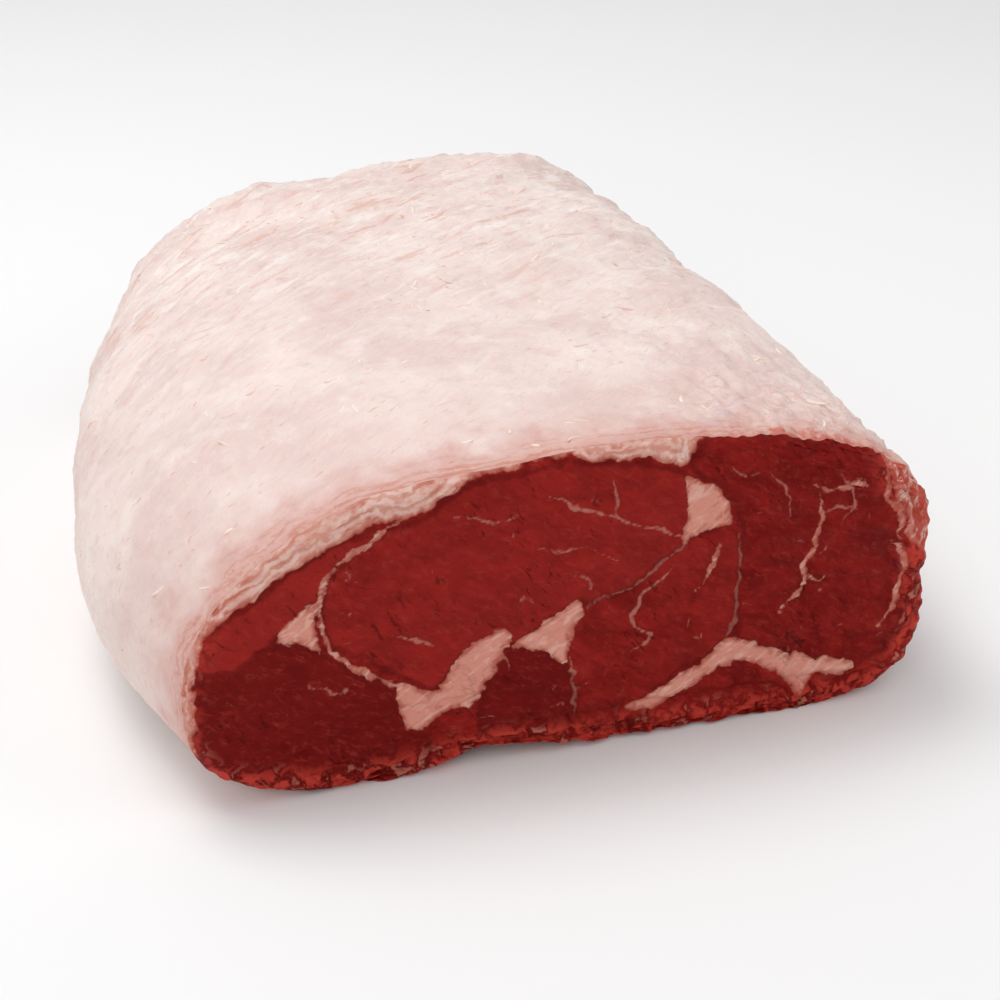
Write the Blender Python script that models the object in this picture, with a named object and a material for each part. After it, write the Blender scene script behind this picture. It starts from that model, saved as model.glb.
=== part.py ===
"""Raw boneless beef rib roast, fat side up, resting on the flat side that the ribs were cut from.

One closed solid. Its long side runs along Y, the cut face that shows the eye muscle looks towards -Y,
and the other cut face, at +Y, is a little aslant. All sizes below are millimetres.
"""

import math

import bmesh
import bpy
from mathutils import Vector

MM = 0.001

# The roast at four places along its length, from the front cut (0) to the back cut (1).
# left and right are the half widths from the crest, crown is the height of the crest,
# left_belly and right_belly are the heights at which each side is widest,
# left_round and right_round say how square each upper shoulder is (2 is an ellipse).
STATIONS = (0.0, 0.28, 0.62, 1.0)
CREST_X = (-20, -18, -12, -2)
LEFT = (100, 120, 113, 90)
RIGHT = (140, 139, 131, 120)
CROWN = (101, 104, 104, 99)
LEFT_BELLY = (34, 44, 50, 50)
RIGHT_BELLY = (48, 50, 52, 52)
LEFT_ROUND = (2.1, 2.1, 2.1, 2.3)
RIGHT_ROUND = (3.3, 3.2, 3.0, 2.8)
LEFT_FOOT_ROUND = 3.2
RIGHT_FOOT_ROUND = 6.0
FOOT_PRESSED = 3.0  # how much of the foot the roast's own weight has pressed flat

FRONT_Y = -130.0
BACK_Y = 146.0
BACK_SLANT = 0.16  # the back cut runs this much further back for each millimetre to the right

CUT_DOME = 3.0  # how far the meat swells out of a cut face
CUT_EDGE = 2.5  # the cut's rim is rolled back by this much
EDGE_SHARE = 0.93  # where on the way from the middle to the rim that roll starts

# Under the front edge, a notch where the meat is lifted off the surface.
NOTCH_X = -26.0
NOTCH_WIDTH = 40.0
NOTCH_DEPTH = 55.0
NOTCH_HEIGHT = 5.0
NOTCH_FLAT_SHARE = 0.2  # the share of its half width where the notch's roof is level

# Broad soft swellings of the fat over the muscles: (waves along, waves round, phase, height).
# They grow from nothing at the first of these heights over the surface to full at the second.
SWELLINGS = ((1.5, 4, 0.6, 1.1), (2.5, 7, 2.2, 0.8), (4.0, 5, 4.1, 0.6), (6.0, 9, 1.3, 0.35))
SWELLING_HEIGHTS = (12.0, 45.0)

RING_POINTS = 96
RINGS = 26
CAP_RINGS = 7
FINE = 720  # points that each section's outline is first worked out with


def eased(low, high, value):
    """0 below low, 1 above high, and a smooth step between."""
    share = min(max((value - low) / (high - low), 0.0), 1.0)
    return share * share * (3 - 2 * share)


def along(values, share):
    """A size at a share of the roast's length, on one smooth curve through its four stations."""
    last = len(STATIONS) - 1
    slopes = [
        (values[min(i + 1, last)] - values[max(i - 1, 0)]) / (STATIONS[min(i + 1, last)] - STATIONS[max(i - 1, 0)])
        for i in range(len(STATIONS))
    ]
    i = sum(share > station for station in STATIONS[1:-1])
    span = STATIONS[i + 1] - STATIONS[i]
    t = (share - STATIONS[i]) / span
    return (
        values[i] * (1 - t) ** 2 * (1 + 2 * t)
        + values[i + 1] * t**2 * (3 - 2 * t)
        + slopes[i] * span * t * (1 - t) ** 2
        - slopes[i + 1] * span * t**2 * (1 - t)
    )


def signed_power(value, power):
    return math.copysign(abs(value) ** power, value)


def section_point(share, angle):
    """A point (x, z) on the outline at a share of the length. The angle runs from the right side over the top."""
    right = math.cos(angle) >= 0
    upper = math.sin(angle) >= 0
    belly = along(RIGHT_BELLY if right else LEFT_BELLY, share)
    half_width = along(RIGHT if right else LEFT, share)
    if upper:
        roundness = along(RIGHT_ROUND if right else LEFT_ROUND, share)
        half_height = along(CROWN, share) - belly
    else:
        roundness = RIGHT_FOOT_ROUND if right else LEFT_FOOT_ROUND
        half_height = belly + FOOT_PRESSED
    x = along(CREST_X, share) + half_width * signed_power(math.cos(angle), 2 / roundness)
    z = belly + half_height * signed_power(math.sin(angle), 2 / roundness)
    return x, max(z, notch(share, x))


def notch(share, x):
    """Height of the underside over the surface, which is only above 0 in the notch at the front."""
    in_from_front = share * (BACK_Y - FRONT_Y)
    across = 1 - eased(NOTCH_FLAT_SHARE, 1.0, abs(x - NOTCH_X) / (NOTCH_WIDTH / 2))
    return NOTCH_HEIGHT * across * (1 - eased(0.0, NOTCH_DEPTH, in_from_front))


def even_outline(share):
    """The section's outline as points at even distances, starting under the crest."""
    start = -math.pi / 2
    fine = [section_point(share, start + 2 * math.pi * i / FINE) for i in range(FINE + 1)]
    run = [0.0]
    for (x0, z0), (x1, z1) in zip(fine, fine[1:]):
        run.append(run[-1] + math.hypot(x1 - x0, z1 - z0))
    outline = []
    segment = 0
    for i in range(RING_POINTS):
        wanted = run[-1] * i / RING_POINTS
        while run[segment + 1] < wanted:
            segment += 1
        part = (wanted - run[segment]) / (run[segment + 1] - run[segment])
        (x0, z0), (x1, z1) = fine[segment], fine[segment + 1]
        outline.append((x0 + (x1 - x0) * part, z0 + (z1 - z0) * part))
    return outline


def cut_y(share, x):
    """Where a point of a section lies along the roast: the sections lean over to the slant of the back cut."""
    back = BACK_Y + BACK_SLANT * x
    return FRONT_Y + (back - FRONT_Y) * share


def swelling(share, turn, height):
    """How far the fat stands out at this place. It fades to nothing where the roast rests."""
    out = sum(
        size * math.sin(2 * math.pi * waves * share + phase) * math.sin(2 * math.pi * rounds * turn + 2 * phase)
        for waves, rounds, phase, size in SWELLINGS
    )
    return out * eased(*SWELLING_HEIGHTS, height)


def ring(share):
    """One closed ring of points round the roast."""
    outline = even_outline(share)
    middle = Vector((along(CREST_X, share), along(CROWN, share) / 2))
    points = []
    for i, (x, z) in enumerate(outline):
        outward = (Vector((x, z)) - middle).normalized() * swelling(share, i / RING_POINTS, z)
        points.append(Vector((x + outward.x, cut_y(share, x), z + outward.y)))
    return points


def cut_face(bm, rim, side):
    """Closes one end with rings that shrink to its middle, rolled at the rim and swollen in the middle.
    side is -1 for the front cut and 1 for the back cut."""
    middle = sum((v.co for v in rim), Vector()) / len(rim)
    outer = rim
    for k in range(1, CAP_RINGS + 1):
        share = EDGE_SHARE * (1 - (k - 1) / CAP_RINGS)
        swell = CUT_EDGE + CUT_DOME * (1 - share**2)
        inner = []
        for v in rim:
            place = middle + (v.co - middle) * share
            place.y += side * swell
            inner.append(bm.verts.new(place))
        stitch(bm, outer, inner, side)
        outer = inner
    face = bm.faces.new(outer if side > 0 else outer[::-1])
    bmesh.ops.triangulate(bm, faces=[face])


def stitch(bm, first, second, side):
    """Joins two rings with quads that face outwards."""
    count = len(first)
    for i in range(count):
        j = (i + 1) % count
        corners = [first[i], first[j], second[j], second[i]]
        bm.faces.new(corners if side > 0 else corners[::-1])


def roast_mesh():
    bm = bmesh.new()
    rings = [
        [bm.verts.new(place) for place in ring(k / RINGS)]
        for k in range(RINGS + 1)
    ]
    for before, after in zip(rings, rings[1:]):
        stitch(bm, before, after, 1)
    cut_face(bm, rings[0], -1)
    cut_face(bm, rings[-1], 1)
    bmesh.ops.recalc_face_normals(bm, faces=bm.faces)
    centre_on_origin(bm)
    bmesh.ops.scale(bm, vec=(MM, MM, MM), verts=bm.verts)
    mesh = bpy.data.meshes.new("roast")
    bm.to_mesh(mesh)
    bm.free()
    mesh.shade_smooth()
    return mesh


def centre_on_origin(bm):
    """Moves the roast so that the middle of its foot print is the origin and its underside is at 0."""
    low = Vector([min(v.co[i] for v in bm.verts) for i in range(3)])
    high = Vector([max(v.co[i] for v in bm.verts) for i in range(3)])
    middle = (low + high) / 2
    bmesh.ops.translate(bm, vec=(-middle.x, -middle.y, -low.z), verts=bm.verts)


def meat_material():
    material = bpy.data.materials.new("raw_beef")
    material.use_nodes = True
    shader = material.node_tree.nodes["Principled BSDF"]
    shader.inputs["Base Color"].default_value = (0.62, 0.42, 0.38, 1.0)
    shader.inputs["Roughness"].default_value = 0.45
    shader.inputs["Metallic"].default_value = 0.0
    return material


for old in list(bpy.data.objects):
    bpy.data.objects.remove(old, do_unlink=True)

roast = bpy.data.objects.new("roast", roast_mesh())
roast.data.materials.append(meat_material())
bpy.context.scene.collection.objects.link(roast)
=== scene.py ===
"""Raw boneless beef rib roast: a pale cap of fat over the top and the left flank, and dark red muscle
at its two cuts, with seams and threads of fat between and inside the muscles."""

import math

import bpy
import numpy as np
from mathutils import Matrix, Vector, noise
from mathutils.bvhtree import BVHTree


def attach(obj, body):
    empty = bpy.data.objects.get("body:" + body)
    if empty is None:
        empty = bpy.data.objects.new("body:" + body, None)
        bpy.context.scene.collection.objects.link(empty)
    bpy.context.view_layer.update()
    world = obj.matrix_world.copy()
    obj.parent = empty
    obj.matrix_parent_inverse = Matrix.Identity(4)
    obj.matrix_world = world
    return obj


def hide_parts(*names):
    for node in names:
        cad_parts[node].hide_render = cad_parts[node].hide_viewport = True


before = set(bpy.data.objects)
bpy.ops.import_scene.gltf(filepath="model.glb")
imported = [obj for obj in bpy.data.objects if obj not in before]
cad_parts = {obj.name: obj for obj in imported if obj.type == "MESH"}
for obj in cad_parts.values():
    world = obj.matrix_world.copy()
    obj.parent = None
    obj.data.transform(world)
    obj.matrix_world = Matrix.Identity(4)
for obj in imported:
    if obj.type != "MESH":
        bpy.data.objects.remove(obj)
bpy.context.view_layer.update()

# ---------------------------------------------------------------------------------------------------
# The skin between the two cuts: the cap of fat over the top and the flanks, and the underside of lean
# and film that the roast lies on. The fat swells over the muscles under it, is creased where it lay
# folded in the carcass, and is knobbly at the front right shoulder, where a knife has trimmed it.

MM = 0.001  # lengths are in millimetres up to where a mesh is made
FRONT_RIM = -145.6  # where the rim of the front cut lies along the roast
BACK_RIM = 129.1
BACK_SLANT = 0.16  # the back cut runs this much further back for each millimetre to the right
AXIS = (0.0, 48.0)  # x and z of a line inside the roast that sees all of its skin
ROWS = 240  # rows of points along the roast, this far apart or so
ROW_STEP = 1.15
RAYS = 720  # how many rays read the CAD skin at each row, and how often what they find is softened
SOFTENINGS = 24
CAP_SPAN = (0.25, 0.88)  # the shares of the way round that the cap takes, from below and by the right
UNDER_SPAN = (0.88, 1.25)
CAP_POINTS = 350
UNDER_POINTS = 150
CORE = (5.0, -8.0, 46.0)  # the middle of the roast, which the hidden walls of the skin are drawn in to
CORE_SHARE = 0.9
LEAN_FROM = 60.0  # the side to the right of this has lean low down, up to this height at the front cut,
LEAN_HEIGHT = 54.0
LEAN_FALL = 0.06  # which falls by this much for each millimetre to the back,
LEAN_STRAY, LEAN_STRAY_SIZE = 13.0, 34.0  # and strays up and down by about this much, in waves of this size
FOOT_HEIGHT = 10.0  # elsewhere it shows only at the foot

# How high each kind of relief stands, and how big its lumps are: all round, or along each axis.
FOLD_WAY = (0.83, 0.56)  # the way the folds run, seen from above
SWELLS, SWELL_SIZE = 2.6, (85.0, 26.0, 60.0)
FOLDS, FOLD_SIZE = 1.8, (60.0, 12.0, 40.0)
CREASES, CREASE_SIZE = 1.0, (26.0, 4.5, 20.0)
KNOBS, KNOB_SIZE = 1.5, 6.5
GRIT, GRIT_SIZE = 0.4, 4.2
RAGS, RAG_SIZE = 1.4, 5.0
TEARS, TEAR_SIZE, TEAR_LEAN = 2.2, 7.0, 0.6  # the torn front rim, and how far it hangs forward on the whole

CREAM = (0.89, 0.74, 0.69)
DULL_CREAM = (0.80, 0.62, 0.58)
PALE_BLOTCH = (0.93, 0.82, 0.77)
GREY_BLOTCH = (0.76, 0.57, 0.54)
WHITE_FIBRE = (0.93, 0.84, 0.80)
PEACH_FIBRE = (0.74, 0.46, 0.38)
WHITE_HAIR = (0.92, 0.83, 0.78)
PEACH_HAIR = (0.70, 0.42, 0.36)
# The next two are the fat's own pink flush and also painted shade, which darkens the cap towards the front
# cut.
PINK_FAT_AND_PAINTED_SHADE = (0.76, 0.54, 0.50)
FLUSHED_FAT_AND_PAINTED_SHADE = (0.68, 0.38, 0.33)
SALMON_LAYER = (0.60, 0.22, 0.15)
KNOB_PINK = (0.68, 0.38, 0.31)
PEACH_DASH = (0.74, 0.44, 0.34)
BLOOD = (0.56, 0.110, 0.066)
LILAC = (0.62, 0.50, 0.56)
SIDE_LEAN_DARK = (0.17, 0.006, 0.005)
SIDE_LEAN = (0.33, 0.020, 0.014)
FILM = (0.58, 0.26, 0.21)
THIN_FAT = (0.68, 0.34, 0.28)


def cad_surface(node):
    """The CAD node as a tree that rays can be cast at, in millimetres."""
    mesh = node.data
    corners = [node.matrix_world @ v.co / MM for v in mesh.vertices]
    return BVHTree.FromPolygons(corners, [tuple(p.vertices) for p in mesh.polygons])


def along_y(share, x):
    """Where a point at this share of the length lies: the rows lean over to the slant of the back cut."""
    return FRONT_RIM + (BACK_RIM + BACK_SLANT * x - FRONT_RIM) * share


def sections(tree):
    """x and z of the CAD skin on even rows along the roast, softened so that no facet shows."""
    rows = np.zeros((ROWS + 1, RAYS, 2))
    for i in range(ROWS + 1):
        share = min(max(i / ROWS, 0.005), 0.995)
        start = Vector((AXIS[0], along_y(share, AXIS[0]), AXIS[1]))
        for k in range(RAYS):
            angle = -math.pi / 2 + 2 * math.pi * k / RAYS
            way = Vector((math.cos(angle), BACK_SLANT * share * math.cos(angle), math.sin(angle)))
            hit = tree.ray_cast(start, way)[0]
            rows[i, k] = hit.x, hit.z
    for _ in range(SOFTENINGS):
        rows[1:-1] = (rows[:-2] + 2 * rows[1:-1] + rows[2:]) / 4
        rows = (np.roll(rows, 1, 1) + 2 * rows + np.roll(rows, -1, 1)) / 4
    return rows


def part_of_way(outline, span, count):
    """Even points on the part of a closed outline between two shares of the way round it."""
    closed = np.vstack([outline, outline, outline[:1]])
    run = np.concatenate([[0.0], np.cumsum(np.hypot(*np.diff(closed[:, :2], axis=0).T))])
    wanted = np.linspace(*span, count + 1) * run[-1] / 2
    return np.stack([np.interp(wanted, run, column) for column in closed.T], axis=1)


def lumps(points, size, seed, detail=2):
    """Smooth noise from about -1 to 1, with lumps of this size, or of one size along each axis."""
    scaled = points / np.array(size, dtype=float) + seed * 17.3
    return np.array([noise.fractal(Vector(p), 0.7, 2.0, detail) for p in scaled])


def ease(low, high, value):
    """0 at low, 1 at high and smooth between them. low may be the greater."""
    t = np.clip((value - low) / (high - low), 0, 1)
    return t * t * (3 - 2 * t)


def skin_points(rows, span, count):
    """The points of one strip of skin, raised into its lumps and creases, as a grid of rows."""
    grid = np.zeros((ROWS + 1, count + 1, 3))
    for i in range(ROWS + 1):
        outline = part_of_way(rows[i], span, count)
        grid[i, :, 0] = outline[:, 0]
        grid[i, :, 1] = along_y(i / ROWS, outline[:, 0])
        grid[i, :, 2] = outline[:, 1]
    out = np.cross(np.gradient(grid, axis=1), np.gradient(grid, axis=0))
    out /= np.linalg.norm(out, axis=2, keepdims=True)
    places = grid.reshape(-1, 3)
    x, y, z = places.T
    right, back = FOLD_WAY
    folded = np.stack([x * right + y * back, y * right - x * back, z], axis=1)
    shoulder = ease(20.0, 80.0, x) * ease(-20.0, -110.0, y) * ease(30.0, 70.0, z)
    rise = SWELLS * lumps(folded, SWELL_SIZE, 14) * ease(-110.0, 0.0, y)
    rise += FOLDS * lumps(folded, FOLD_SIZE, 1, 3) * ease(-90.0, 30.0, y)
    rise += CREASES * lumps(folded, CREASE_SIZE, 11, 3) * ease(-60.0, 60.0, y)
    rise += KNOBS * lumps(places, KNOB_SIZE, 2, 3) * shoulder
    rise += GRIT * lumps(places, GRIT_SIZE, 3)
    rise += RAGS * lumps(places, RAG_SIZE, 4, 3) * ease(60.0, 20.0, z) * ease(60.0, 110.0, x)
    rise *= ease(3.0, 16.0, z)  # the foot stays on the ground
    torn = np.clip(ease(26.0, 6.0, z) + ease(96.0, 112.0, x) * ease(96.0, 80.0, z), 0, 1)
    torn *= np.repeat(ease(14.0, 0.0, np.arange(ROWS + 1) * ROW_STEP), count + 1)
    torn *= TEARS * lumps(places, TEAR_SIZE, 12, 3) + TEAR_LEAN
    grid[:, :, 1] -= torn.reshape(ROWS + 1, -1)
    grid += out * rise.reshape(ROWS + 1, count + 1, 1)
    grid[:, :, 2] = np.maximum(grid[:, :, 2], 0.0)
    return grid


def patch(name, grid, inner):
    """A closed piece: a grid of points as its skin, and a hidden wall inside the roast that closes it.
    inner moves the points of the skin's edge, an array in mm, to where that wall has its edge."""
    bpy.ops.object.select_all(action="DESELECT")
    down, across = grid.shape[:2]
    bpy.ops.mesh.primitive_grid_add(x_subdivisions=across - 1, y_subdivisions=down - 1, size=1.0)
    piece = bpy.context.active_object
    mesh = piece.data
    piece.name = mesh.name = name
    mesh.uv_layers[0].name = "OFBake"
    mesh.vertices.foreach_set("co", (grid * MM).reshape(-1))
    bpy.ops.object.mode_set(mode="EDIT")
    bpy.ops.mesh.select_all(action="DESELECT")
    bpy.ops.mesh.select_mode(type="EDGE")
    bpy.ops.mesh.select_non_manifold()
    bpy.ops.mesh.mark_sharp()  # so that the hidden wall doesn't darken the skin's edge
    bpy.ops.mesh.extrude_edges_move()
    bpy.ops.mesh.edge_face_add()
    bpy.ops.object.mode_set(mode="OBJECT")
    places = np.zeros(len(mesh.vertices) * 3)
    mesh.vertices.foreach_get("co", places)
    places = places.reshape(-1, 3)
    places[down * across :] = inner(places[down * across :] / MM) * MM
    mesh.vertices.foreach_set("co", places.reshape(-1))
    bpy.ops.object.mode_set(mode="EDIT")
    bpy.ops.mesh.select_all(action="SELECT")
    bpy.ops.mesh.normals_make_consistent(inside=False)
    bpy.ops.object.mode_set(mode="OBJECT")
    mesh.shade_smooth()
    return piece


def painted(piece, **fields):
    """Stores numbers for each point of the piece's skin, for its material to read."""
    for name, values in fields.items():
        full = np.zeros(len(piece.data.vertices))
        full[: values.size] = values.reshape(-1)
        piece.data.attributes.new(name, "FLOAT", "POINT").data.foreach_set("value", full)


def to_core(points):
    """Draws the edge of a strip of skin in towards the middle of the roast."""
    return np.array(CORE) + (points - np.array(CORE)) * CORE_SHARE


class Wire:
    """One output of a material's node, so that sums read as sums."""

    def __init__(self, tree, socket=None):
        self.tree, self.socket = tree, socket

    def node(self, kind, settings=None, sockets=None, out=0):
        made = self.tree.nodes.new(kind)
        for name, value in (settings or {}).items():
            setattr(made, name, value)
        for key, value in (sockets or {}).items():
            self.put(value, made.inputs[key])
        return Wire(self.tree, made.outputs[out])

    def put(self, value, socket):
        if isinstance(value, Wire):
            self.tree.links.new(value.socket, socket)
        else:
            socket.default_value = value

    def maths(self, operation, *values):
        return self.node("ShaderNodeMath", {"operation": operation}, dict(enumerate(values)))

    def __add__(self, other):
        return self.maths("ADD", self, other)

    def __sub__(self, other):
        return self.maths("SUBTRACT", self, other)

    def __rsub__(self, other):
        return self.maths("SUBTRACT", other, self)

    def __mul__(self, other):
        return self.maths("MULTIPLY", self, other)

    __radd__ = __add__
    __rmul__ = __mul__

    def wave(self):
        """The sine of this, which makes stripes of a number that grows."""
        return self.maths("SINE", self)

    def step(self, low, high):
        """0 below low, 1 above high and smooth between them. low may be the greater."""
        made = self.node(
            "ShaderNodeMapRange",
            {"interpolation_type": "SMOOTHSTEP"},
            {"Value": self, "From Min": min(low, high), "From Max": max(low, high)},
        )
        return 1.0 - made if low > high else made

    def field(self, name):
        """A number that painted() has stored on the piece."""
        return self.node("ShaderNodeAttribute", {"attribute_name": name}, out="Fac")

    def place(self):
        return self.node("ShaderNodeTexCoord", out="Object")

    def drawn_out(self, angles, scale):
        """This place turned back by the angles and shrunk, so that a pattern on it is longer that way."""
        return self.node(
            "ShaderNodeMapping",
            {"vector_type": "TEXTURE"},
            {"Vector": self, "Rotation": angles, "Scale": scale},
        )

    def cloud(self, size, detail=3.0, roughness=0.55, distortion=0.0):
        """Noise from 0 to 1 whose lumps are about this many millimetres across."""
        return self.node(
            "ShaderNodeTexNoise",
            {},
            {
                "Vector": self,
                "Scale": 1.0 / (size * MM),
                "Detail": detail,
                "Roughness": roughness,
                "Distortion": distortion,
            },
        )

    def mix(self, low, high):
        """The colour low where this is 0 and high where it is 1."""
        low, high = (c if isinstance(c, Wire) else (*c, 1.0) for c in (low, high))
        return self.node("ShaderNodeMix", {"data_type": "RGBA"}, {0: self, 6: low, 7: high}, out=2)

    def under(self, share, colour):
        """This colour with another over it, as much of it as the share says."""
        return share.mix(self, colour)


def blank_material(name):
    """A new material, a wire to start its sums from, and its shader."""
    material = bpy.data.materials.new(name)
    material.use_nodes = True
    return material, Wire(material.node_tree), material.node_tree.nodes["Principled BSDF"]


def fat_skin():
    """Beef fat: pale pink cream with paler fibres and peach creases, over thin meat low on the right."""
    material, wire, shader = blank_material("fat_skin")
    place = wire.place()
    lean = wire.field("lean")
    front = wire.field("front")
    shoulder = wire.field("shoulder")
    streaky = wire.field("streaky")

    broad = place.cloud(50.0, 3.0)
    blotch = place.cloud(12.0, 4.0)
    bits = place.cloud(5.0, 4.0, 0.6, 0.8)
    fine = place.cloud(1.6, 5.0, 0.6)
    knobs = place.cloud(6.0, 4.0, 0.65, 0.8)
    fibres = place.drawn_out((0.0, 0.0, 0.59), (5.5, 1.0, 2.0)).cloud(4.0, 6.0, 0.62, 0.5)
    hairs = place.drawn_out((0.0, 0.0, 0.75), (4.0, 1.0, 1.5)).cloud(1.5, 4.0, 0.6, 0.8)
    dashes = place.drawn_out((0.0, 0.0, 0.2), (3.2, 1.0, 1.5)).cloud(2.3, 2.0, 0.5, 0.9)
    lilac = place.cloud(11.0, 2.0, 0.5, 0.5)

    colour = broad.step(0.38, 0.64).mix(CREAM, DULL_CREAM)
    colour = colour.under(blotch.step(0.50, 0.70) * 0.55, PALE_BLOTCH)
    colour = colour.under(blotch.step(0.46, 0.32) * 0.45, GREY_BLOTCH)
    colour = colour.under(fibres.step(0.47, 0.36) * (0.15 + 0.7 * streaky), WHITE_FIBRE)
    colour = colour.under(fibres.step(0.56, 0.66) * (0.15 + 0.6 * streaky), PEACH_FIBRE)
    colour = colour.under(hairs.step(0.56, 0.70) * 0.30, PEACH_HAIR)
    colour = colour.under(hairs.step(0.42, 0.30) * 0.35, WHITE_HAIR)

    # Towards the front cut the fat is pinker, then shows its layers, and blood has run on to its edge. The
    # pinker fat is partly its own flush and partly painted shade, which darkens the cap over its front 75 mm
    # and more deeply over its front 24 mm.
    colour = colour.under((front + (blotch - 0.5) * 40.0).step(75.0, 0.0) * 0.55, PINK_FAT_AND_PAINTED_SHADE)
    colour = colour.under((front + (blotch - 0.5) * 36.0).step(24.0, 1.0) * 0.8, FLUSHED_FAT_AND_PAINTED_SHADE)
    ripple = place.drawn_out((0.0, 0.0, 0.05), (3.5, 1.0, 1.0)).cloud(9.0, 6.0, 0.7)
    layers = (front * 1.4 + (ripple - 0.5) * 28.0).wave().step(-0.2, 1.0)
    colour = colour.under((front + (blotch - 0.5) * 26.0).step(12.0, 0.0) * layers * 0.7, SALMON_LAYER)
    colour = colour.under(shoulder * knobs.step(0.48, 0.60) * 0.6, KNOB_PINK)
    colour = colour.under(dashes.step(0.66, 0.73) * 0.75, PEACH_DASH)
    bleed = (front + (bits - 0.5) * 22.0).step(6.0, 0.0) * (0.2 + 0.8 * shoulder)
    colour = colour.under(bleed * 0.8, BLOOD)
    colour = colour.under(shoulder * lilac.step(0.60, 0.68) * 0.5, LILAC)

    # Low on the right the fat thins out over the lean, which has a film over it.
    torn = lean + (place.cloud(9.0, 6.0, 0.7, 0.8) - 0.5) * 26.0
    muscle = place.drawn_out((0.0, 0.0, 0.1), (1.0, 4.0, 1.5)).cloud(3.0, 5.0, 0.6)
    film = place.drawn_out((0.0, 0.0, 1.57), (3.5, 1.0, 1.0)).cloud(9.0, 6.0, 0.7, 0.8)
    red = muscle.step(0.3, 0.75).mix(SIDE_LEAN_DARK, SIDE_LEAN)
    red = red.under(film.step(0.50, 0.72) * 0.6, FILM)
    colour = colour.under(torn.step(-9.0, 1.0) * 0.7, THIN_FAT)
    colour = colour.under(torn.step(-1.6, 3.2), red)

    wire.put(colour, shader.inputs["Base Color"])
    wire.put(0.42 + blotch * 0.2 - torn.step(-1.0, 1.0) * 0.08, shader.inputs["Roughness"])
    height = fine * 0.3 + fibres * (0.3 + 0.7 * streaky) + hairs * 0.35 + blotch * 0.8
    height = height + knobs * shoulder * 0.9 + torn.step(0.0, 2.0) * muscle
    bump = wire.node("ShaderNodeBump", {}, {"Strength": 0.6, "Distance": 0.0014, "Height": height})
    wire.put(bump, shader.inputs["Normal"])
    shader.inputs["Specular IOR Level"].default_value = 0.35
    shader.inputs["Subsurface Weight"].default_value = 0.12
    shader.inputs["Subsurface Radius"].default_value = (0.006, 0.003, 0.002)
    shader.inputs["Subsurface Scale"].default_value = 0.5
    return material


rows = sections(cad_surface(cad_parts["roast"]))
skin = fat_skin()
rims = []  # the first and last row of each strip, where the cuts join it
for name, span, count in (("fat_cap", CAP_SPAN, CAP_POINTS), ("underside", UNDER_SPAN, UNDER_POINTS)):
    grid = skin_points(rows, span, count)
    piece = patch(name, grid, to_core)
    places = grid.reshape(-1, 3)
    x, y, z = places.T
    from_front = np.repeat(np.arange(ROWS + 1) / ROWS, count + 1) * (along_y(1.0, x) - FRONT_RIM)
    low_right = LEAN_HEIGHT - LEAN_FALL * (y + 145.0) + LEAN_STRAY * lumps(places, LEAN_STRAY_SIZE, 15) - z
    painted(
        piece,
        lean=np.where(x > LEAN_FROM, low_right, 2.0 * (FOOT_HEIGHT - z)) - 60.0 * ease(-50.0, -90.0, x),
        front=from_front,
        shoulder=ease(35.0, 75.0, x) * ease(70.0, 10.0, from_front) * ease(40.0, 80.0, z),
        streaky=ease(-70.0, 60.0, y) * ease(30.0, 80.0, z),
    )
    piece.data.materials.append(skin)
    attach(piece, "root")
    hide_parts("roast")
    rims.append((grid[0], grid[-1]))

# ---------------------------------------------------------------------------------------------------
# Small curls and slivers of fat, which the trimming knife cut off and left lying on the cap. Each is
# a thin bent lens of fat, a few millimetres long and pressed a little into the fat under it.

SHAVINGS = 110
SINK = 0.1  # how deep the middle of a sliver is pressed in
LIES_WITHIN = ((-115, 112), (-140, 125))
LIES_ON = 0.45  # how far up the cap has to face for a sliver to stay on it
SLIVER_PALE = (0.94, 0.82, 0.72)
SLIVER_PEACH = (0.88, 0.69, 0.59)


def one_shaving(chance, spot, facing):
    """A thin bent sliver that lies at this spot of the cap."""
    bpy.ops.object.select_all(action="DESELECT")
    bpy.ops.mesh.primitive_uv_sphere_add(
        segments=8, ring_count=8, radius=1.0, calc_uvs=False, rotation=(0.0, math.pi / 2, 0.0)
    )
    bpy.ops.object.transform_apply(location=False, rotation=True, scale=False)
    sliver = bpy.context.active_object
    points = np.array([v.co for v in sliver.data.vertices])
    points *= (chance.uniform(1.4, 3.6), chance.uniform(0.35, 0.75), chance.uniform(0.3, 0.5))
    points[:, 1] += chance.uniform(-0.12, 0.12) * points[:, 0] ** 2
    points[:, 2] += chance.uniform(-0.03, 0.02) * points[:, 0] ** 2
    turn = chance.normal(0.6, 0.9)
    x, y = points[:, 0].copy(), points[:, 1].copy()
    points[:, 0] = x * math.cos(turn) - y * math.sin(turn)
    points[:, 1] = x * math.sin(turn) + y * math.cos(turn)
    lie = facing.to_track_quat("Z", "Y")
    for vertex, point in zip(sliver.data.vertices, points):
        vertex.co = (spot - facing * SINK + lie @ Vector(point)) * MM
    return sliver


def shavings(cap):
    """All the slivers as one piece, each lying against the cap."""
    chance = np.random.default_rng(12)
    corners = [v.co / MM for v in cap.data.vertices]
    ground = BVHTree.FromPolygons(corners, [tuple(p.vertices) for p in cap.data.polygons])
    slivers = []
    while len(slivers) < SHAVINGS:
        above = Vector((chance.uniform(*LIES_WITHIN[0]), chance.uniform(*LIES_WITHIN[1]), 200.0))
        spot, facing, _, _ = ground.ray_cast(above, Vector((0.0, 0.0, -1.0)))
        if spot is not None and facing.z >= LIES_ON:
            slivers.append(one_shaving(chance, spot, facing))
    for sliver in slivers:
        sliver.select_set(True)
    bpy.ops.object.join()
    piece = bpy.context.active_object
    piece.name = piece.data.name = "shavings"
    piece.data.shade_smooth()
    return piece


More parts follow.
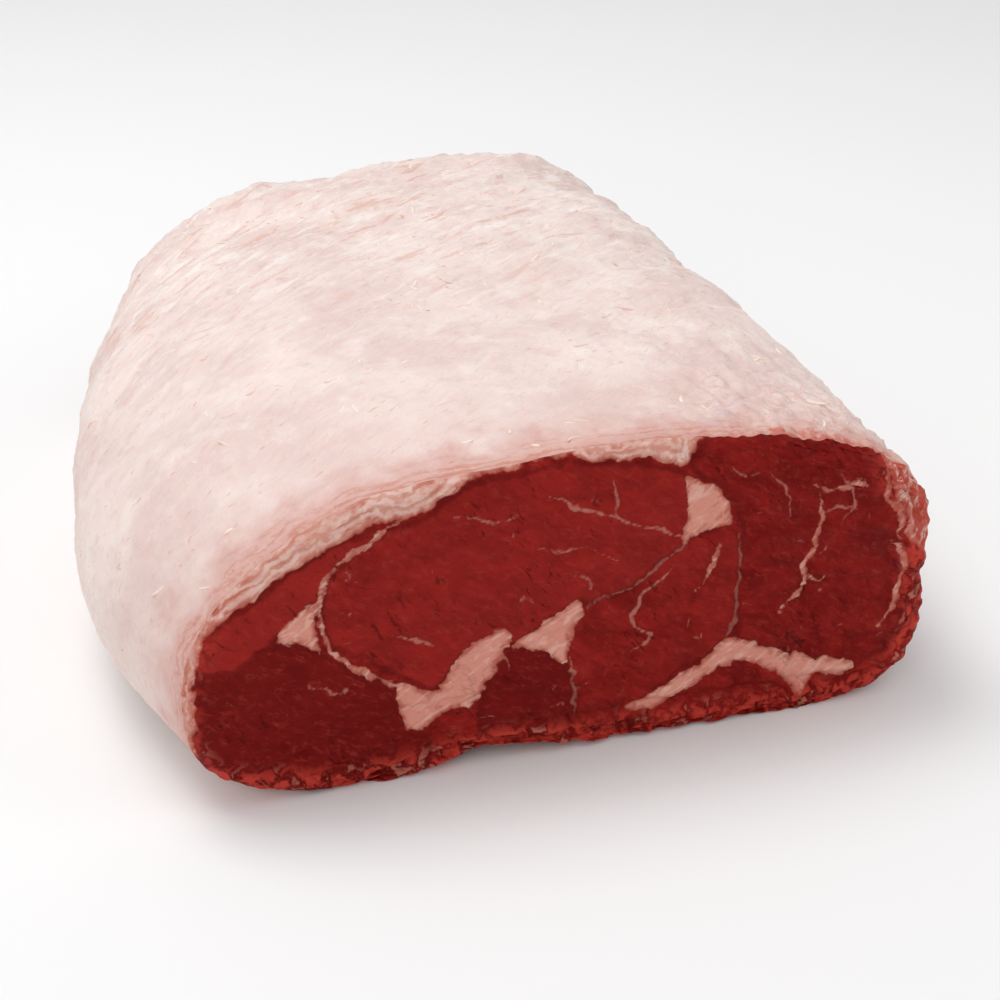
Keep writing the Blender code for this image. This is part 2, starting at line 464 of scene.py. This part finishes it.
def shaving_fat():
    """Dry fat, a little paler and yellower than the cap."""
    material, wire, shader = blank_material("shaving_fat")
    tint = wire.place().cloud(9.0, 2.0).step(0.4, 0.6)
    wire.put(tint.mix(SLIVER_PALE, SLIVER_PEACH), shader.inputs["Base Color"])
    shader.inputs["Roughness"].default_value = 0.45
    shader.inputs["Specular IOR Level"].default_value = 0.35
    return material


curls = shavings(bpy.data.objects["fat_cap"])
curls.data.materials.append(shaving_fat())
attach(curls, "root")
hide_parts("roast")

# ---------------------------------------------------------------------------------------------------
# The two cuts, where a knife went straight through. Each muscle stands a little proud of the seams of
# fat and film between them, thin threads of fat run through the meat, the cap shows its layers, and
# the rim rolls over. Places on a cut are (right, up), and an outline is a smooth curve through its points.

FRONT, BACK = 0, 1
FACE_ACROSS = 520
FACE_UP = 150
SIDES_START = (0.13, 0.36, 0.72, 0.92)  # where a rim's right, top, left and bottom start, as shares of it
ROLL = 5.0  # how far in from its rim a cut rolls over, and how far it rises there
ROLL_RISE = 2.5
DOME_REACH = 48.0  # how far in from its rim a cut goes on swelling, and how far it rises there
DOME = 3.0
WALL_BEHIND = 2.0  # how far behind the rim the hidden wall of a cut lies, and how much narrower it is
WALL_SHARE = 0.95
SEAM_DEPTH, SEAM_REACH = 0.55, 2.2
FAT_DEPTH = 0.35
MEAT_LUMPS, MEAT_LUMP_SIZE = 0.4, 7.0
CUT_RAGS, CUT_RAG_SIZE = 1.1, 4.0
LAYER_RIDGES = 0.4
WANDERS = ((9.0, 1.5, 7, 3), (2.6, 0.55, 9, 2))  # size, reach, seed and detail of how outlines stray

DEEP_RED = (0.165, 0.0034, 0.0026)
BEEF_RED = (0.285, 0.0100, 0.0078)
DARK_MUSCLE = (0.135, 0.0026, 0.0020)
LIGHT_MUSCLE = (0.365, 0.0210, 0.0160)
GRAIN_LIGHT = (0.38, 0.040, 0.030)
GRAIN_DARK = (0.075, 0.0030, 0.0024)
THREAD_PINK = (0.50, 0.190, 0.150)
RAGGED_RED = (0.58, 0.054, 0.036)
RAGGED_FAT = (0.64, 0.210, 0.150)
RIM_RED = (0.50, 0.052, 0.032)
SEAM_SHADE = (0.085, 0.0036, 0.0028)
CRACK_SHADE = (0.050, 0.0022, 0.0018)
FAT_EDGE = (0.44, 0.115, 0.080)
INNER_FAT = (0.70, 0.290, 0.220)
PALE_STRAND = (0.84, 0.53, 0.44)
PINK_STRAND = (0.50, 0.120, 0.080)
BAND_PALE = (0.79, 0.50, 0.43)
BAND_PEACH = (0.68, 0.33, 0.26)
BAND_LAYER = (0.50, 0.130, 0.080)
BAND_WHITE = (0.86, 0.72, 0.67)
ROLLED_FAT = (0.85, 0.67, 0.62)

# The muscles of the front cut: how light each is, from -1 to 1, and its outline.
FRONT_MUSCLES = {
    "eye": (
        0.35,
        (
            (-71, 64), (-65, 77), (-50, 86), (-38, 89), (-26, 96), (-13, 98), (11, 98), (33, 94), (44, 88),
            (43, 71), (33, 61), (16, 52), (8, 54), (-4, 47), (-14, 43), (-27, 42), (-37, 32), (-51, 40),
            (-67, 52),
        ),
    ),
    "tail": (
        0.55,
        (
            (-112, 52), (-100, 63), (-86, 72), (-76, 78), (-66, 84), (-53, 87), (-60, 80), (-69, 71),
            (-84, 57), (-98, 48),
        ),
    ),
    "lower_left": (
        -0.7,
        (
            (-112, 40), (-96, 50), (-80, 54), (-62, 42), (-48, 32), (-46, 22), (-38, 10), (-50, -4),
            (-112, -4),
        ),
    ),
    "small": (
        -0.75,
        ((-14, 42), (0, 35), (5, 31), (7, 24), (9, 11), (0, 6), (-20, 10), (-22, 23), (-21, 31)),
    ),
    "chop": (
        0.2,
        (
            (41, 68), (47, 70), (57, 71), (61, 62), (62, 48), (60, 36), (53, 27), (36, 19), (31, 6), (17, 6),
            (10, 12), (7, 24), (4, 32), (5, 39), (10, 51), (23, 54),
        ),
    ),
    "right": (
        -0.25,
        (
            (46, 91), (49, 99), (61, 102), (81, 99), (103, 94), (113, 82), (124, 60), (126, 40), (120, 22),
            (103, 14), (88, 19), (79, 23), (67, 28), (61, 33), (62, 50), (61, 64), (60, 80),
        ),
    ),
}
# Lumps of fat between the muscles of the front cut.
FRONT_FAT = (
    ((-84, 57), (-72, 68), (-73, 60), (-71, 49), (-77, 53)),
    (
        (-48, 34), (-38, 31), (-32, 36), (-27, 43), (-16, 49), (-14, 43), (-21, 29), (-24, 23), (-35, 22),
        (-41, 17), (-47, 21),
    ),
    ((-13, 42), (-4, 47), (8, 54), (11, 50), (8, 45), (4, 33), (-1, 36), (-7, 39)),
    ((43, 90), (54, 84), (58, 79), (58, 72), (48, 71), (41, 68), (43, 75), (43, 83)),
    (
        (26, 11), (36, 18), (47, 23), (53, 26), (59, 32), (67, 28), (79, 23), (88, 19), (103, 15), (100, 9),
        (90, 12), (86, 3), (80, 12), (73, 19), (63, 21), (54, 20), (44, 15), (34, 9),
    ),
)
# The cap round the front cut: its inner edge from left foot to right shoulder, closed outside the cut.
FRONT_BAND = (
    (-140, -10), (-112, 8), (-110, 30), (-108, 50), (-100, 64), (-86, 73), (-76, 79), (-66, 84.5), (-55, 88),
    (-38, 91), (-26, 97.5), (-13, 99.5), (4, 100), (20, 98), (33, 96), (43, 93), (46, 98), (52, 101),
    (81, 99.5), (104, 94), (111, 82), (117, 66), (123, 52), (140, 45), (140, 130), (-140, 130),
)
# Seams of the front cut, thick enough to be fat all through: how wide each is, and its line.
FRONT_SEAMS = (
    (
        1.7,
        (
            (-46, 89), (-57, 83), (-66, 76), (-71, 69), (-72, 63), (-70, 56), (-66, 47), (-60, 41),
            (-52, 36), (-46, 34),
        ),
    ),
    (2.6, ((87, 78), (88, 71), (87, 65), (86, 58), (83, 52), (84, 46), (81, 42), (76, 38))),
    (2.1, ((114, 58), (119, 49), (118, 40), (116, 34), (111, 27))),
    (1.3, ((53, 66), (52, 58), (47, 51))),
    (1.4, ((84, 82), (92, 78), (100, 80), (104, 79))),
    (1.2, ((83, 51), (88, 47), (90, 49))),
    (1.8, ((109, 88), (111, 80), (112, 73), (115, 66), (118, 56))),
)
# Threads of fat in the muscles of the front cut, so thin that the meat shows through.
FRONT_THREADS = (
    (1.0, ((44, 70), (35, 62), (24, 55), (12, 51))),
    (0.9, ((60, 68), (62, 55), (61, 40), (57, 30))),
    (0.9, ((6, 36), (7, 26), (9, 12))),
    (1.1, ((-1, 90), (10, 85), (19, 81), (33, 74), (42, 70))),
    (0.8, ((-7, 75), (0, 72), (13, 71))),
    (0.7, ((14, 69), (23, 65))),
    (0.9, ((6, 63), (10, 61), (13, 56))),
    (0.9, ((-50, 53), (-43, 49), (-35, 46))),
    (1.0, ((39, 60), (29, 51), (27, 42), (33, 38), (25, 32))),
    (0.7, ((-30, 88), (-20, 85), (-8, 86))),
    (0.7, ((70, 88), (76, 80), (77, 72))),
    (0.7, ((96, 84), (99, 74), (96, 66))),
    (0.9, ((57, 91), (62, 88), (68, 89))),
    (0.9, ((88, 71), (94, 73), (100, 70))),
    (1.0, ((-34, 25), (-40, 28), (-46, 33))),
    (1.0, ((-20, 46), (-16, 40), (-14, 34))),
    (0.9, ((19, 81), (21, 87), (20, 92))),
    (0.8, ((-76, 40), (-66, 36), (-60, 38))),
)

# The back cut was further along the same animal: a longer eye, a thinner cap and one seam under it.
BACK_MUSCLES = {
    "eye": (
        0.1,
        ((-60, 62), (-40, 82), (-5, 90), (35, 84), (52, 66), (48, 46), (20, 32), (-15, 28), (-45, 38)),
    ),
    "chain": (-0.3, ((60, 66), (80, 80), (100, 76), (112, 56), (108, 32), (88, 18), (62, 28), (56, 48))),
    "under": (-0.6, ((-70, 30), (-40, 28), (-10, 20), (30, 20), (52, 22), (40, 6), (-20, 4), (-64, 8))),
}
BACK_FAT = (
    ((52, 82), (60, 74), (57, 60), (52, 50), (56, 34), (50, 26), (45, 38), (50, 52), (54, 64), (50, 74)),
    ((-62, 36), (-44, 34), (-20, 25), (10, 27), (34, 28), (30, 24), (0, 20), (-30, 24), (-56, 29)),
)
BACK_BAND = (
    (-140, -10), (-82, 10), (-78, 34), (-72, 56), (-58, 74), (-36, 89), (-4, 95), (40, 89), (70, 88),
    (96, 84), (114, 66), (140, 55), (140, 130), (-140, 130),
)
BACK_SEAMS = (
    (1.8, ((58, 72), (62, 64), (57, 56), (58, 46), (54, 36))),
    (1.4, ((-62, 50), (-70, 44), (-72, 34))),
    (1.3, ((98, 70), (92, 60), (98, 50), (96, 38))),
)
BACK_THREADS = (
    (1.0, ((-50, 60), (-30, 66), (-12, 60), (6, 66))),
    (0.8, ((-20, 46), (0, 42), (18, 48), (34, 46))),
    (0.8, ((10, 76), (24, 70), (36, 72))),
    (0.7, ((74, 62), (84, 54), (82, 42), (92, 34))),
    (0.7, ((-40, 14), (-10, 12), (14, 14))),
    (0.6, ((-34, 74), (-20, 78))),
)


def face_points(loop, side):
    """A grid of points over a cut, woven between the four sides of its rim and swollen in its middle,
    and how far in from the rim each point is. side is -1 for a cut that faces front and 1 for back."""
    ends = (*SIDES_START[1:], SIDES_START[0] + 1)
    counts = (FACE_UP, FACE_ACROSS, FACE_UP, FACE_ACROSS)
    sides = [part_of_way(loop[:, (0, 2, 1)], span[:2], span[2]) for span in zip(SIDES_START, ends, counts)]
    right, top, left, bottom = sides[0], sides[1][::-1], sides[2][::-1], sides[3]
    s = np.linspace(0, 1, FACE_ACROSS + 1)[None, :, None]
    t = np.linspace(0, 1, FACE_UP + 1)[:, None, None]
    flat = (1 - t) * bottom[None] + t * top[None] + (1 - s) * left[:, None] + s * right[:, None]
    flat -= (1 - s) * (1 - t) * bottom[0] + s * (1 - t) * bottom[-1] + (1 - s) * t * top[0] + s * t * top[-1]
    rim = distance(flat[:, :, :2].reshape(-1, 2), loop[:, (0, 2)], True).reshape(flat.shape[:2])
    rise = ROLL_RISE * np.sqrt(1 - (1 - np.clip(rim / ROLL, 0, 1)) ** 2)
    rise += DOME * (1 - (1 - np.clip(rim / DOME_REACH, 0, 1)) ** 2)
    return np.stack([flat[:, :, 0], flat[:, :, 2] + side * rise, flat[:, :, 1]], axis=2), rim


def smooth_curve(points, closed, steps=6):
    """A curve through the points, bending evenly at each."""
    p = np.array(points, dtype=float)
    if closed:
        p = np.vstack([p[-1:], p, p[:2]])
    else:
        p = np.vstack([2 * p[0] - p[1], p, 2 * p[-1] - p[-2]])
    curve = []
    for a, b, c, d in zip(p, p[1:], p[2:], p[3:]):
        for t in np.arange(steps) / steps:
            bend = (2 * a - 5 * b + 4 * c - d) * t**2 + (3 * b - a - 3 * c + d) * t**3
            curve.append(0.5 * (2 * b + (c - a) * t + bend))
    if not closed:
        curve.append(p[-2])
    return np.array(curve)


def distance(points, line, closed):
    """How far each point is from a line of straight steps."""
    nearest = np.full(len(points), np.inf)
    ends = np.roll(line, -1, axis=0) if closed else line[1:]
    for a, b in zip(line, ends):
        way = b - a
        t = np.clip(((points - a) @ way) / max(way @ way, 1e-9), 0, 1)
        nearest = np.minimum(nearest, np.hypot(*(points - a - t[:, None] * way).T))
    return nearest


def inside(points, outline):
    """How deep each point is inside an outline, below 0 outside it."""
    x, z = points.T
    within = np.zeros(len(points), dtype=bool)
    for (x0, z0), (x1, z1) in zip(outline, np.roll(outline, -1, axis=0)):
        crosses = (z0 > z) != (z1 > z)
        step = z1 - z0 if z1 != z0 else 1e-9
        within ^= crosses & (x < x0 + (z - z0) * (x1 - x0) / step)
    return np.where(within, 1, -1) * distance(points, outline, True)


def flecks(count, seed):
    """Short threads of fat scattered over a cut, mostly lying the same way."""
    chance = np.random.default_rng(seed)
    scattered = []
    for _ in range(count):
        middle = np.array([chance.uniform(-100, 112), chance.uniform(10, 92)])
        slope, length = chance.normal(0.3, 1.0), chance.uniform(1.0, 4.5)
        way = np.array([math.cos(slope), -math.sin(slope)]) * length / 2
        bow = np.array([way[1], -way[0]]) * chance.uniform(-0.5, 0.5)
        scattered.append((chance.uniform(0.4, 1.0), (middle - way, middle + bow, middle + way)))
    return scattered


def cut_fields(flat, muscles, lumps_of_fat, band, seams, threads):
    """What shows at each place of a cut: how deep it is in fat, in a thread and in the cap, how light
    its muscle is, and how far it is to the edge of a muscle."""
    spot = np.stack([flat[:, 0], flat[:, 0] * 0, flat[:, 1]], axis=1)
    for size, reach, seed, detail in WANDERS:
        stray = [lumps(spot, size, seed, detail), lumps(spot, size, seed + 1, detail)]
        flat = flat + reach * np.stack(stray, axis=1)
    cap = inside(flat, smooth_curve(band, True))
    fat = cap.copy()
    for shape in lumps_of_fat:
        fat = np.maximum(fat, inside(flat, smooth_curve(shape, True)))
    thread = np.full(len(flat), -60.0)
    uneven = 1.0 + 0.7 * lumps(spot, 8.0, 11, 1)
    for field, lines in ((fat, seams), (thread, threads)):
        for width, line in lines:
            to_tip = np.minimum(*(np.hypot(*(flat - np.array(line[k])).T) for k in (0, -1)))
            tapered = width * (0.35 + 0.65 * ease(0.0, 7.0, to_tip)) * uneven
            deep = tapered / 2 - distance(flat, smooth_curve(line, False), False)
            np.maximum(field, deep, out=field)
    tone = np.zeros(len(flat))
    weight = np.zeros(len(flat))
    seam = np.full(len(flat), 60.0)
    for shade, outline in muscles.values():
        deep = inside(flat, smooth_curve(outline, True))
        tone += shade * ease(-1.5, 1.5, deep)
        weight += ease(-1.5, 1.5, deep)
        seam = np.minimum(seam, np.abs(deep))
    return fat, thread, cap, tone / np.maximum(weight, 1.0), seam


def cut_meat():
    """Cut beef: deep red muscle with a fine grain, small dark cracks and pale threads and seams of fat."""
    material, wire, shader = blank_material("cut_meat")
    place = wire.place()
    fat, thread, cap = wire.field("fat"), wire.field("thread"), wire.field("cap")
    tone, seam = wire.field("tone"), wire.field("seam")
    rolled, ragged = wire.field("rolled"), wire.field("ragged")

    shake = place.cloud(2.2, 4.0, 0.6)
    bits = place.cloud(6.0, 4.0, 0.55, 0.6)
    grain = place.drawn_out((0.0, 0.6, 0.0), (2.0, 1.0, 1.0)).cloud(1.8, 6.0, 0.68, 0.6)
    bundles = place.drawn_out((0.0, 0.5, 0.0), (1.8, 1.0, 1.0)).cloud(8.0, 4.0, 0.6, 0.8)
    cracks = place.drawn_out((0.0, 0.95, 0.0), (4.0, 1.0, 1.0)).cloud(2.1, 3.0, 0.55, 1.2).step(0.41, 0.33)
    cracks = cracks * place.cloud(19.0, 2.0).step(0.49, 0.60)
    fray = place.drawn_out((0.0, 0.6, 0.0), (2.0, 1.0, 1.0)).cloud(3.6, 5.0, 0.65, 0.6)
    strands = place.drawn_out((0.0, -0.6, 0.0), (3.5, 1.0, 1.0)).cloud(2.2, 4.0, 0.6, 0.6)
    streaks = place.drawn_out((0.0, 0.3, 0.0), (1.0, 1.0, 2.2)).cloud(3.2, 4.0, 0.65, 1.0)

    lean = bundles.step(0.34, 0.68).mix(DEEP_RED, BEEF_RED)
    lean = lean.under(tone.step(0.1, -0.9) * 0.75, DARK_MUSCLE)
    lean = lean.under(tone.step(0.0, 0.6) * 0.6, LIGHT_MUSCLE)
    lean = lean.under(grain.step(0.50, 0.70) * 0.42, GRAIN_LIGHT)
    lean = lean.under(grain.step(0.44, 0.28) * 0.45, GRAIN_DARK)
    is_thread = (thread + (shake - 0.5) * 1.3).step(-0.30, 0.40)
    lean = lean.under(is_thread * (0.35 + 0.75 * grain), THREAD_PINK)
    lean = lean.under(ragged * bits.step(0.45, 0.58) * 0.9, RAGGED_RED)
    lean = lean.under(ragged * bits.step(0.43, 0.33) * 0.7, RAGGED_FAT)
    lean = lean.under(seam.step(1.3, 0.2) * 0.4, SEAM_SHADE)
    lean = lean.under(cracks * 0.6 * (1.0 - ragged), CRACK_SHADE)

    # The fat between the muscles is in strands, and pinker where it thins out at its edges.
    edge = fat + (shake - 0.5) * 0.9 + (fray - 0.5) * 3.2 * cap.step(0.5, -1.5)
    is_fat = edge.step(-0.30, 0.35)
    cream = (edge + (strands - 0.5) * 2.4).step(-0.2, 2.2).mix(FAT_EDGE, INNER_FAT)
    cream = cream.under(strands.step(0.5, 0.66) * 0.5, PALE_STRAND)
    cream = cream.under(strands.step(0.40, 0.30) * 0.6, PINK_STRAND)

    # The cap is in layers that follow its edge.
    ripple = place.drawn_out((0.0, -0.45, 0.0), (3.5, 1.0, 1.0)).cloud(8.0, 6.0, 0.7)
    layers = (cap * 2.3 + (ripple - 0.5) * 22.0).wave()
    layered = place.cloud(15.0, 3.0).step(0.40, 0.60) * 0.5 + 0.3
    outer = place.cloud(6.0, 4.0, 0.6, 0.6).step(0.35, 0.62).mix(BAND_PALE, BAND_PEACH)
    outer = outer.under(layers.step(-0.3, 1.0) * layered, BAND_LAYER)
    outer = outer.under(layers.step(-0.2, -1.0) * 0.2, BAND_WHITE)
    cream = cream.under((cap + (shake - 0.5) * 2.0).step(0.2, 2.0), outer)
    cream = cream.under(ragged * streaks.step(0.40, 0.52) * 0.9, RIM_RED)
    cream = cream.under(rolled, ROLLED_FAT)

    wire.put(is_fat.mix(lean, cream), shader.inputs["Base Color"])
    wire.put(0.34 + grain * 0.2 + is_fat * 0.08, shader.inputs["Roughness"])
    height = grain * 0.8 + bundles * 0.9 + is_fat * 0.2 + shake * 0.2 + ragged * streaks * 0.9 - cracks * 0.5
    bump = wire.node("ShaderNodeBump", {}, {"Strength": 0.7, "Distance": 0.0011, "Height": height})
    wire.put(bump, shader.inputs["Normal"])
    shader.inputs["Specular IOR Level"].default_value = 0.07
    return material


meat = cut_meat()
front_threads = (*FRONT_THREADS, *flecks(40, 3))
back_threads = (*BACK_THREADS, *flecks(60, 5))
for name, end, muscles, lumps_of_fat, band, seams, threads in (
    ("front_cut", FRONT, FRONT_MUSCLES, FRONT_FAT, FRONT_BAND, FRONT_SEAMS, front_threads),
    ("back_cut", BACK, BACK_MUSCLES, BACK_FAT, BACK_BAND, BACK_SEAMS, back_threads),
):
    side = 1 if end == BACK else -1
    # The rim, from below and by the right: the last part of the underside's edge, the cap's, then the rest.
    cap_edge, under_edge = rims[0][end], rims[1][end]
    turn = round(UNDER_POINTS * (1.0 - UNDER_SPAN[0]) / (UNDER_SPAN[1] - UNDER_SPAN[0]))
    loop = np.vstack([under_edge[turn:-1], cap_edge[:-1], under_edge[:turn]])
    grid, rim = face_points(loop, side)
    places, rim = grid.reshape(-1, 3), rim.reshape(-1)
    x, y, z = places.T
    fat, thread, cap, tone, seam = cut_fields(places[:, (0, 2)], muscles, lumps_of_fat, band, seams, threads)
    # The front cut is ragged at the foot and down its right side, and both are a little so low down.
    foot_or_right = np.maximum(ease(20.0, 6.0, z), ease(100.0, 116.0, x) * ease(98.0, 80.0, z))
    ragged = foot_or_right * ease(14.0, 4.0, rim) * (end == FRONT)
    ragged = np.clip(ragged + 0.4 * ease(8.0, 2.0, rim) * (1 - ease(60.0, 80.0, z)), 0, 1)

    # Muscles sink towards their edges, fat lies lower than lean, and the layers of the cap are ridges.
    relief = SEAM_DEPTH * (1 - np.exp(-seam / SEAM_REACH)) - FAT_DEPTH * ease(-0.4, 0.6, fat) * (cap < 0)
    relief += MEAT_LUMPS * lumps(places, MEAT_LUMP_SIZE, 5, 3)
    relief += CUT_RAGS * ragged * lumps(places, CUT_RAG_SIZE, 6, 3)
    relief += LAYER_RIDGES * ease(0.5, 2.5, cap) * np.sin(cap * 1.5 + 4.0 * lumps(places, 16.0, 13))
    y += side * relief * ease(0.0, 4.0, rim)

    fields = {"fat": fat, "thread": thread, "cap": cap, "tone": tone, "seam": seam, "ragged": ragged}
    fields["rolled"] = ease(4.0, 1.0, rim) * (end == BACK)  # the back's rim takes the colour of the cap
    if end == BACK:  # turned round, so that its faces point outward
        grid = grid[:, ::-1]
        fields = {key: values.reshape(grid.shape[:2])[:, ::-1] for key, values in fields.items()}

    def behind(points):
        """The edge of the hidden wall that closes a cut."""
        middle = points.mean(axis=0)
        wall = middle + (points - middle) * WALL_SHARE
        wall[:, 1] = points[:, 1] - side * WALL_BEHIND
        return wall

    piece = patch(name, grid, behind)
    painted(piece, **fields)
    piece.data.materials.append(meat)
    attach(piece, "root")
    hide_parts("roast")

# ---------------------------------------------------------------------------------------------------
# The studio: a plain pale floor, soft light from above, from the front left and from the right, and
# the camera, which looks down at the front cut from its left.

FLOOR_WIDTH = 8.0  # in metres, as all sizes of the studio are
FLOOR_WHITE = (0.94, 0.94, 0.94, 1.0)
WORLD_WHITE = (1.0, 1.0, 1.0, 1.0)
WORLD_STRENGTH = 0.5
LAMPS = (  # place, width and power in watts
    ((-0.35, 0.30, 1.3), 0.8, 9.5),
    ((-0.9, -1.5, 1.0), 1.2, 6.0),
    ((1.1, -0.6, 0.9), 1.0, 3.0),
)
CAMERA_PLACE = (-0.19623, -0.70506, 0.38862)
CAMERA_TILT, CAMERA_TURN = 63.0, -18.0
LENS, SENSOR = 80.64, 36.0

bpy.ops.object.select_all(action="DESELECT")
bpy.ops.mesh.primitive_plane_add(size=FLOOR_WIDTH)
floor = bpy.context.active_object
floor.name = "floor"
matt_white, _, shader = blank_material("floor")
shader.inputs["Base Color"].default_value = FLOOR_WHITE
shader.inputs["Roughness"].default_value = 0.9
floor.data.materials.append(matt_white)

for place, width, power in LAMPS:
    bpy.ops.object.light_add(type="AREA", location=place)
    lamp = bpy.context.active_object
    lamp.data.size = width
    lamp.data.energy = power
    lamp.rotation_euler = (-Vector(place)).to_track_quat("-Z", "Y").to_euler()

world = bpy.data.worlds.new("studio")
bpy.context.scene.world = world
world.use_nodes = True
sky = world.node_tree.nodes["Background"]
sky.inputs["Color"].default_value = WORLD_WHITE
sky.inputs["Strength"].default_value = WORLD_STRENGTH

bpy.ops.object.camera_add(
    location=CAMERA_PLACE, rotation=(math.radians(CAMERA_TILT), 0.0, math.radians(CAMERA_TURN))
)
camera = bpy.context.active_object
camera.data.lens = LENS
camera.data.sensor_width = SENSOR
bpy.context.scene.camera = camera
bpy.context.scene.view_settings.view_transform = "Standard"
